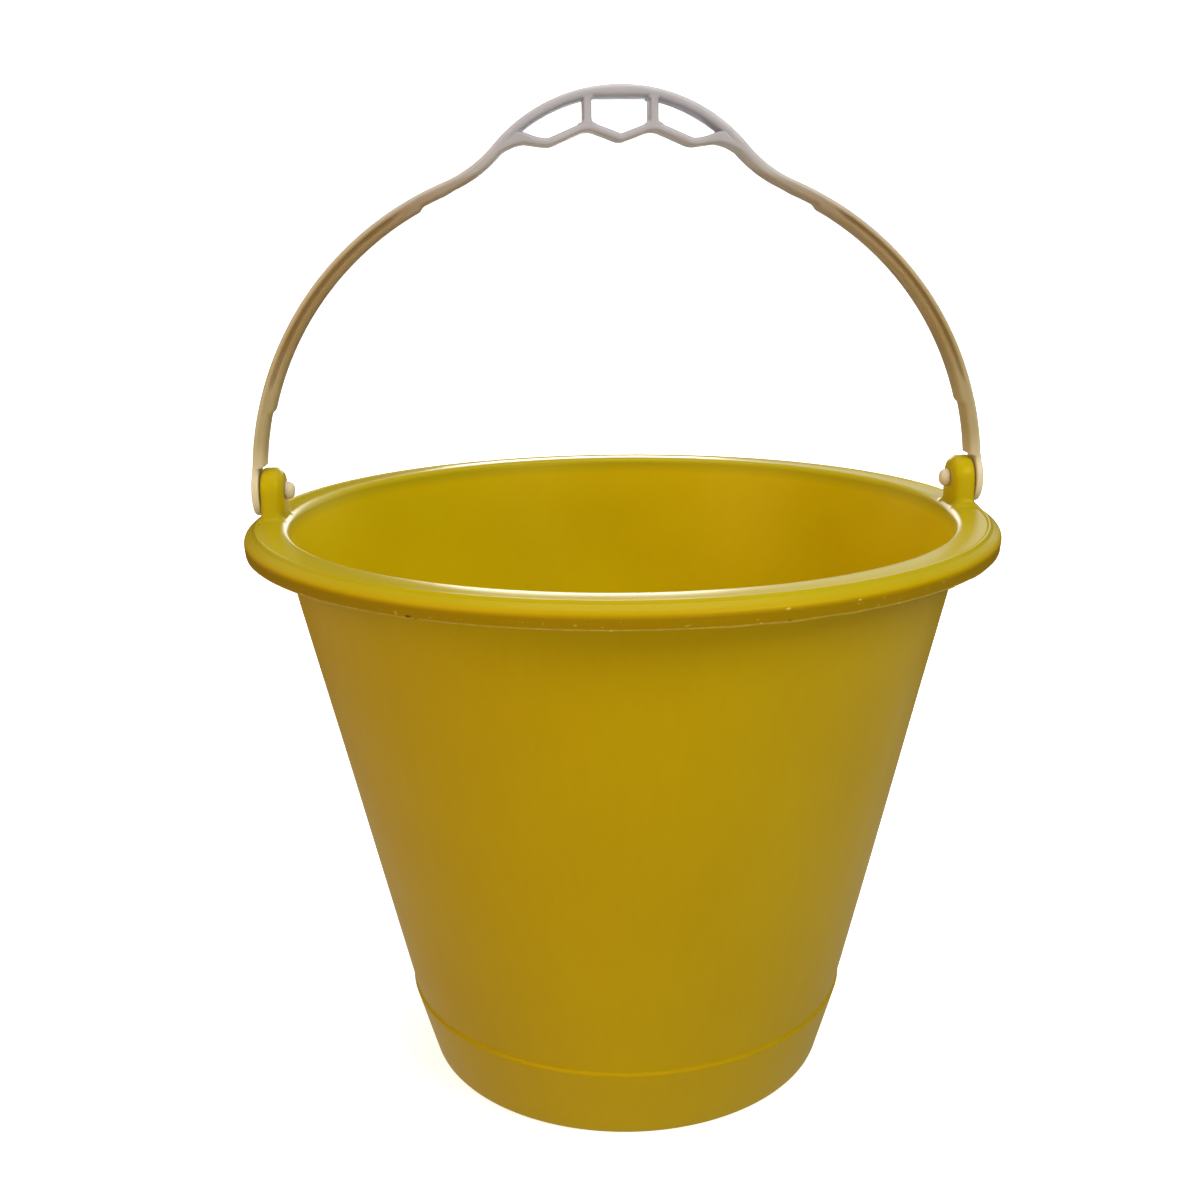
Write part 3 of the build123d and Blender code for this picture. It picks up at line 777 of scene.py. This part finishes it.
    smooth, rough = (addNode(tree, "MapRange", {"Value": zone, "From Min": onRim, "From Max": onWall,
                                                "To Min": rim, "To Max": wall}).outputs["Result"]
                     for rim, wall in zip(y["gloss"], y["wallGloss"]))
    low, high = y["glossSpread"]
    gloss = addNode(tree, "MapRange", {"Value": clouds, "From Min": low, "From Max": high,
                                       "To Min": smooth, "To Max": rough}).outputs["Result"]
    strength, depth = y["turningBump"]
    rippled = addNode(tree, "MapRange", {"Value": zone, "From Min": onRim, "From Max": onWall,
                                         "To Min": 0, "To Max": strength}).outputs["Result"]
    ripple = addNode(tree, "Bump", {"Height": turning.outputs["Fac"], "Strength": rippled,
                                    "Distance": depth * mm}).outputs["Normal"]
    strength, depth = y["grainBump"]
    skin = addNode(tree, "Bump", {"Height": grain.outputs["Fac"], "Strength": strength,
                                  "Distance": depth * mm, "Normal": ripple}).outputs["Normal"]
    shader = addNode(tree, "BsdfPrincipled", {"Base Color": colour, "Roughness": gloss, "IOR": 1.5,
                                              "Specular IOR Level": y["underSkinLevel"],
                                              "Specular Tint": linearColour(y["underSkin"]), "Normal": skin})
    addNode(tree, "OutputMaterial", {"Surface": shader.outputs["BSDF"]})
    return material


offWhite = dict(
    tones=[(243, "#dccdb0"),   # height, tone: painted reflected light, cream at the eyes, yellow from the bucket on the arms, cooler at the grip
           (262, "#bfb38c"), (330, "#bbae92"), (378, "#b1afb8")],
    tan="#8a682a",             # darker between the arms' edges: partly dirt from hands, partly painted shade where the channel lies
    dirtAndShadeByHeight=[(250, 0), (264, 0.35), (284, 0.45), (300, 0.8), (345, 0.8), (376, 0)],    # height, how much
    tanFull=2.2,
    tanInner=(3.8, 5.2),       # depths between which it gets less
    tanLoss=0.3,
    depth=4.5,                 # how deep light goes into it
    depthShare=0.5,
    depthTint=(1.0, 0.85, 0.7),    # red goes deepest
    cloudSize=18.0,
    cloudSpread=(0.3, 0.7),
    cloudTone=(0.93, 1.05),
    grainSize=0.8,
    grainBump=(0.3, 0.04),     # strength and depth
    gloss=(0.34, 0.48),
)


def bailPlastic(w):
    # Injection-moulded polypropylene in its natural off-white: satin, and light goes a little way into it,
    # which softens its shadows. Its tone by height is painted reflected light, yellow from the bucket on the
    # arms, and the arms are darker between their edges, partly dirt and partly painted shade.
    material, tree = newMaterial("off-white moulded polypropylene")
    where = addNode(tree, "TexCoord", {}).outputs["Object"]
    height = addNode(tree, "SeparateXYZ", {"Vector": where}).outputs["Z"]
    tan = addNode(tree, "Attribute", {}, attribute_name="tan").outputs["Fac"]
    clouds = addNode(tree, "TexNoise", {"Vector": where, "Scale": 1000 / w["cloudSize"], "Detail": 4})
    grain = addNode(tree, "TexNoise", {"Vector": where, "Scale": 1000 / w["grainSize"], "Detail": 2})
    # Tone by height, which paints the bucket's yellow reflected light on the arms.
    lowest, highest = w["tones"][0][0], w["tones"][-1][0]
    up = addNode(tree, "MapRange", {"Value": height, "From Min": lowest * mm, "From Max": highest * mm})
    base = addNode(tree, "ValToRGB", {"Fac": up.outputs["Result"]})
    for level, tone in w["tones"][1:-1]:
        base.color_ramp.elements.new((level - lowest) / (highest - lowest))
    for stop, (level, tone) in zip(base.color_ramp.elements, w["tones"]):
        stop.color = linearColour(tone)
    (low, high), (dark, light) = w["cloudSpread"], w["cloudTone"]
    cloudTone = addNode(tree, "MapRange", {"Value": clouds.outputs["Fac"], "From Min": low, "From Max": high,
                                           "To Min": dark, "To Max": light}).outputs["Result"]
    clouded = addNode(tree, "VectorMath", {0: base.outputs["Color"], "Scale": cloudTone}, operation="SCALE")
    # tan darkens the arms: partly dirt, partly painted shade.
    colour = addNode(tree, "Mix", {0: tan, 6: clouded.outputs["Vector"], 7: linearColour(w["tan"])},
                     data_type="RGBA").outputs[2]
    smooth, rough = w["gloss"]
    gloss = addNode(tree, "MapRange", {"Value": clouds.outputs["Fac"], "From Min": low, "From Max": high,
                                       "To Min": smooth, "To Max": rough}).outputs["Result"]
    strength, depth = w["grainBump"]
    skin = addNode(tree, "Bump", {"Height": grain.outputs["Fac"], "Strength": strength,
                                  "Distance": depth * mm})
    shader = addNode(tree, "BsdfPrincipled", {"Base Color": colour, "Roughness": gloss, "IOR": 1.49,
                                              "Subsurface Weight": w["depthShare"],
                                              "Subsurface Scale": w["depth"] * mm,
                                              "Subsurface Radius": w["depthTint"],
                                              "Normal": skin.outputs["Normal"]})
    addNode(tree, "OutputMaterial", {"Surface": shader.outputs["BSDF"]})
    return material


def paintBucket(b, y):
    # zone: 0 inside, then onRim, onWall and onSkirt, with smooth steps between them; its tones paint light
    # and shade. The ears' tops go back some way to the inside's tone, which paints light on them. flash: 1
    # along the skirt's lower edge.
    place = vertexPlaces(bucketPiece)
    radius, height = np.hypot(place[:, 0], place[:, 1]), place[:, 2]
    wallMiddle = wallFoot - b["wall"] / 2 + (height - b["bandHeight"]) * wallSlope
    pastRim, aboveTop, aboveLip = radius - rimR, height - rimZ, height - lipZ
    outside = ramp(radius - wallMiddle, *y["wallBlend"]) * ramp(-aboveTop, *y["crestBlend"])
    skirt = ramp(pastRim, *y["skirtBlend"]) * ramp(aboveLip, *y["lipBlend"])
    top = ramp(aboveTop, *y["topBlend"]) * (1 - y["earPaintedLight"] * ramp(aboveTop, *y["earBlend"]))
    inner, outer = top * onRim, onWall + skirt * (onSkirt - onWall)
    paint(bucketPiece, "zone", inner + outside * (outer - inner))
    flash = ramp(aboveLip, b["flashTop"], y["flashFull"]) * ramp(pastRim, *y["flashBlend"])
    paint(bucketPiece, "flash", flash)


def paintBail(b, w):
    # tan: 0 on the strap's outer face, full from tanFull below it and a little less at its inner face, times
    # the share for its height. It is partly dirt and partly painted shade.
    place = vertexPlaces(bailPiece)
    height = place[:, 2]
    below = armR - np.hypot(np.abs(place[:, 0]) - b["armOffset"], height - pin[2])
    across = ramp(below, 0, w["tanFull"]) * (1 - w["tanLoss"] * ramp(below, *w["tanInner"]))
    paint(bailPiece, "tan", across * np.interp(height, *zip(*w["dirtAndShadeByHeight"])))


paintBucket(bucket, yellow)
paintBail(bail, offWhite)
for piece, material in ((bucketPiece, yellowPlastic(yellow)), (bailPiece, bailPlastic(offWhite))):
    piece.data.materials.clear()
    piece.data.materials.append(material)
print("materials made")


# Floor, light and camera.

stage = dict(
    radius=1.6,                # metres, from the object out to the wall
    height=1.3,
    sweepRound=0.6,            # curve between the floor and the wall
    step=0.05,
    around=128,
    paper="#f4f3f0",
    roughness=0.9,
    backlight=0.65,            # a little light through the sheet, which keeps it white
)


def makeStage(s):
    # Floor, quarter circle and low wall, turned about Z.
    corners = [(mm, 0), (s["radius"], 0), (s["radius"], s["height"])]
    profile = roundedLine(corners, [s["sweepRound"]], s["step"])
    angle = np.linspace(0, 2 * math.pi, s["around"], endpoint=False)[:, None]
    grid = turnedGrid(profile[:, 0][None, :], profile[:, 1][None, :], angle)
    quads = gridQuads(len(angle), len(profile), wrapRows=True).tolist()
    middle = list(range(0, len(angle) * len(profile), len(profile)))
    mesh = bpy.data.meshes.new("studio_sweep")
    mesh.from_pydata(grid.reshape(-1, 3), [], quads + [middle[::-1]])
    mesh.shade_smooth()
    sweep = bpy.data.objects.new("studio_sweep", mesh)
    bpy.context.scene.collection.objects.link(sweep)
    paper, tree = newMaterial("matt white paper")
    shader = addNode(tree, "BsdfPrincipled", {"Base Color": linearColour(s["paper"]),
                                              "Roughness": s["roughness"],
                                              "Emission Color": linearColour("#ffffff"),
                                              "Emission Strength": s["backlight"]})
    addNode(tree, "OutputMaterial", {"Surface": shader.outputs["BSDF"]})
    mesh.materials.append(paper)
    for rays in ("glossy", "diffuse", "shadow"):          # the room lights the object, not this sheet
        setattr(sweep, "visible_" + rays, False)


makeStage(stage)


def softLight(name, place, target, size, watts, colour="#ffffff"):    # an area light aimed at a point
    data = bpy.data.lights.new(name, "AREA")
    data.shape, data.size, data.size_y = "RECTANGLE", size[0], size[1]
    data.energy, data.color = watts, linearColour(colour)[:3]
    lamp = bpy.data.objects.new(name, data)
    lamp.location = place
    lamp.rotation_euler = (Vector(target) - Vector(place)).to_track_quat("-Z", "Y").to_euler()
    bpy.context.scene.collection.objects.link(lamp)
    return lamp


middle, nearRim, low, grip = (0, 0, 0.2), (0, -0.14, 0.232), (0, 0, 0.15), (0, 0, 0.39)    # aims, in metres
softLight("overhead", (0.05, 0.15, 1.6), middle, (1.0, 1.0), 10.5)
softLight("key from the right", (0.75, -1.0, 1.15), middle, (0.7, 0.7), 11, "#fbfff0")
softLight("warm fill from the left", (-1.15, -0.75, 0.8), middle, (1.0, 1.0), 8.5, "#ffdcb4")
softLight("strip behind", (0.04, 1.3, 0.5), nearRim, (0.36, 0.42), 2.8)
softLight("glow behind", (0.6, 1.25, 0.72), nearRim, (0.9, 0.7), 2.2)
softLight("front card", (0, -1.5, 0.12), low, (2.2, 0.5), 10).visible_glossy = False
for name, place in (("card behind left", (-1.1, 1.1, 0.4)), ("card behind right", (1.1, 1.1, 0.4))):
    softLight(name, place, middle, (0.8, 0.8), 6).visible_glossy = False
bounce = softLight("bounce under the grip", (0, 0.55, 0.06), grip, (0.5, 0.2), 0.2)
bounce.visible_camera = bounce.visible_glossy = False
bounce.data.spread = math.radians(50)

# Tones of the room that the plastic sees, from straight down, 0, to straight up, 1: floor, dark distance and
# ceiling.
room = [(0.0, "#c1beb3"), (0.29, "#c1beb3"), (0.33, "#1e1c19"), (0.62, "#1e1c19"), (0.7, "#7c7b78"),
        (1.0, "#a09f9c")]

world = bpy.data.worlds.new("studio")
world.use_nodes = True
sky = world.node_tree
upward = addNode(sky, "SeparateXYZ", {"Vector": addNode(sky, "TexCoord", {}).outputs["Generated"]})
height = addNode(sky, "MapRange", {"Value": upward.outputs["Z"], "From Min": -1})
tones = addNode(sky, "ValToRGB", {"Fac": height.outputs["Result"]})
for level, tone in room[1:-1]:
    tones.color_ramp.elements.new(level)
for stop, (level, tone) in zip(tones.color_ramp.elements, room):
    stop.position, stop.color = level, linearColour(tone)
sky.links.new(tones.outputs["Color"], sky.nodes["Background"].inputs["Color"])
bpy.context.scene.world = world
bpy.context.scene.view_settings.view_transform = "Standard"

view = dict(
    place=(-0.0394, -0.5568, 0.3416),    # metres
    aim=(0, 0, 0.1941),
    roll=-0.0075,              # radians
    lens=41.74,
    sensor=36.0,
    shift=-0.01933,
)

cameraData = bpy.data.cameras.new("camera")
cameraData.lens, cameraData.sensor_width, cameraData.shift_x = view["lens"], view["sensor"], view["shift"]
camera = bpy.data.objects.new("camera", cameraData)
camera.location = view["place"]
camera.rotation_euler = (Vector(view["aim"]) - camera.location).to_track_quat("-Z", "Y").to_euler()
camera.rotation_euler.rotate_axis("Z", view["roll"])
bpy.context.scene.collection.objects.link(camera)
bpy.context.scene.camera = camera
print("stage, lights and camera set")
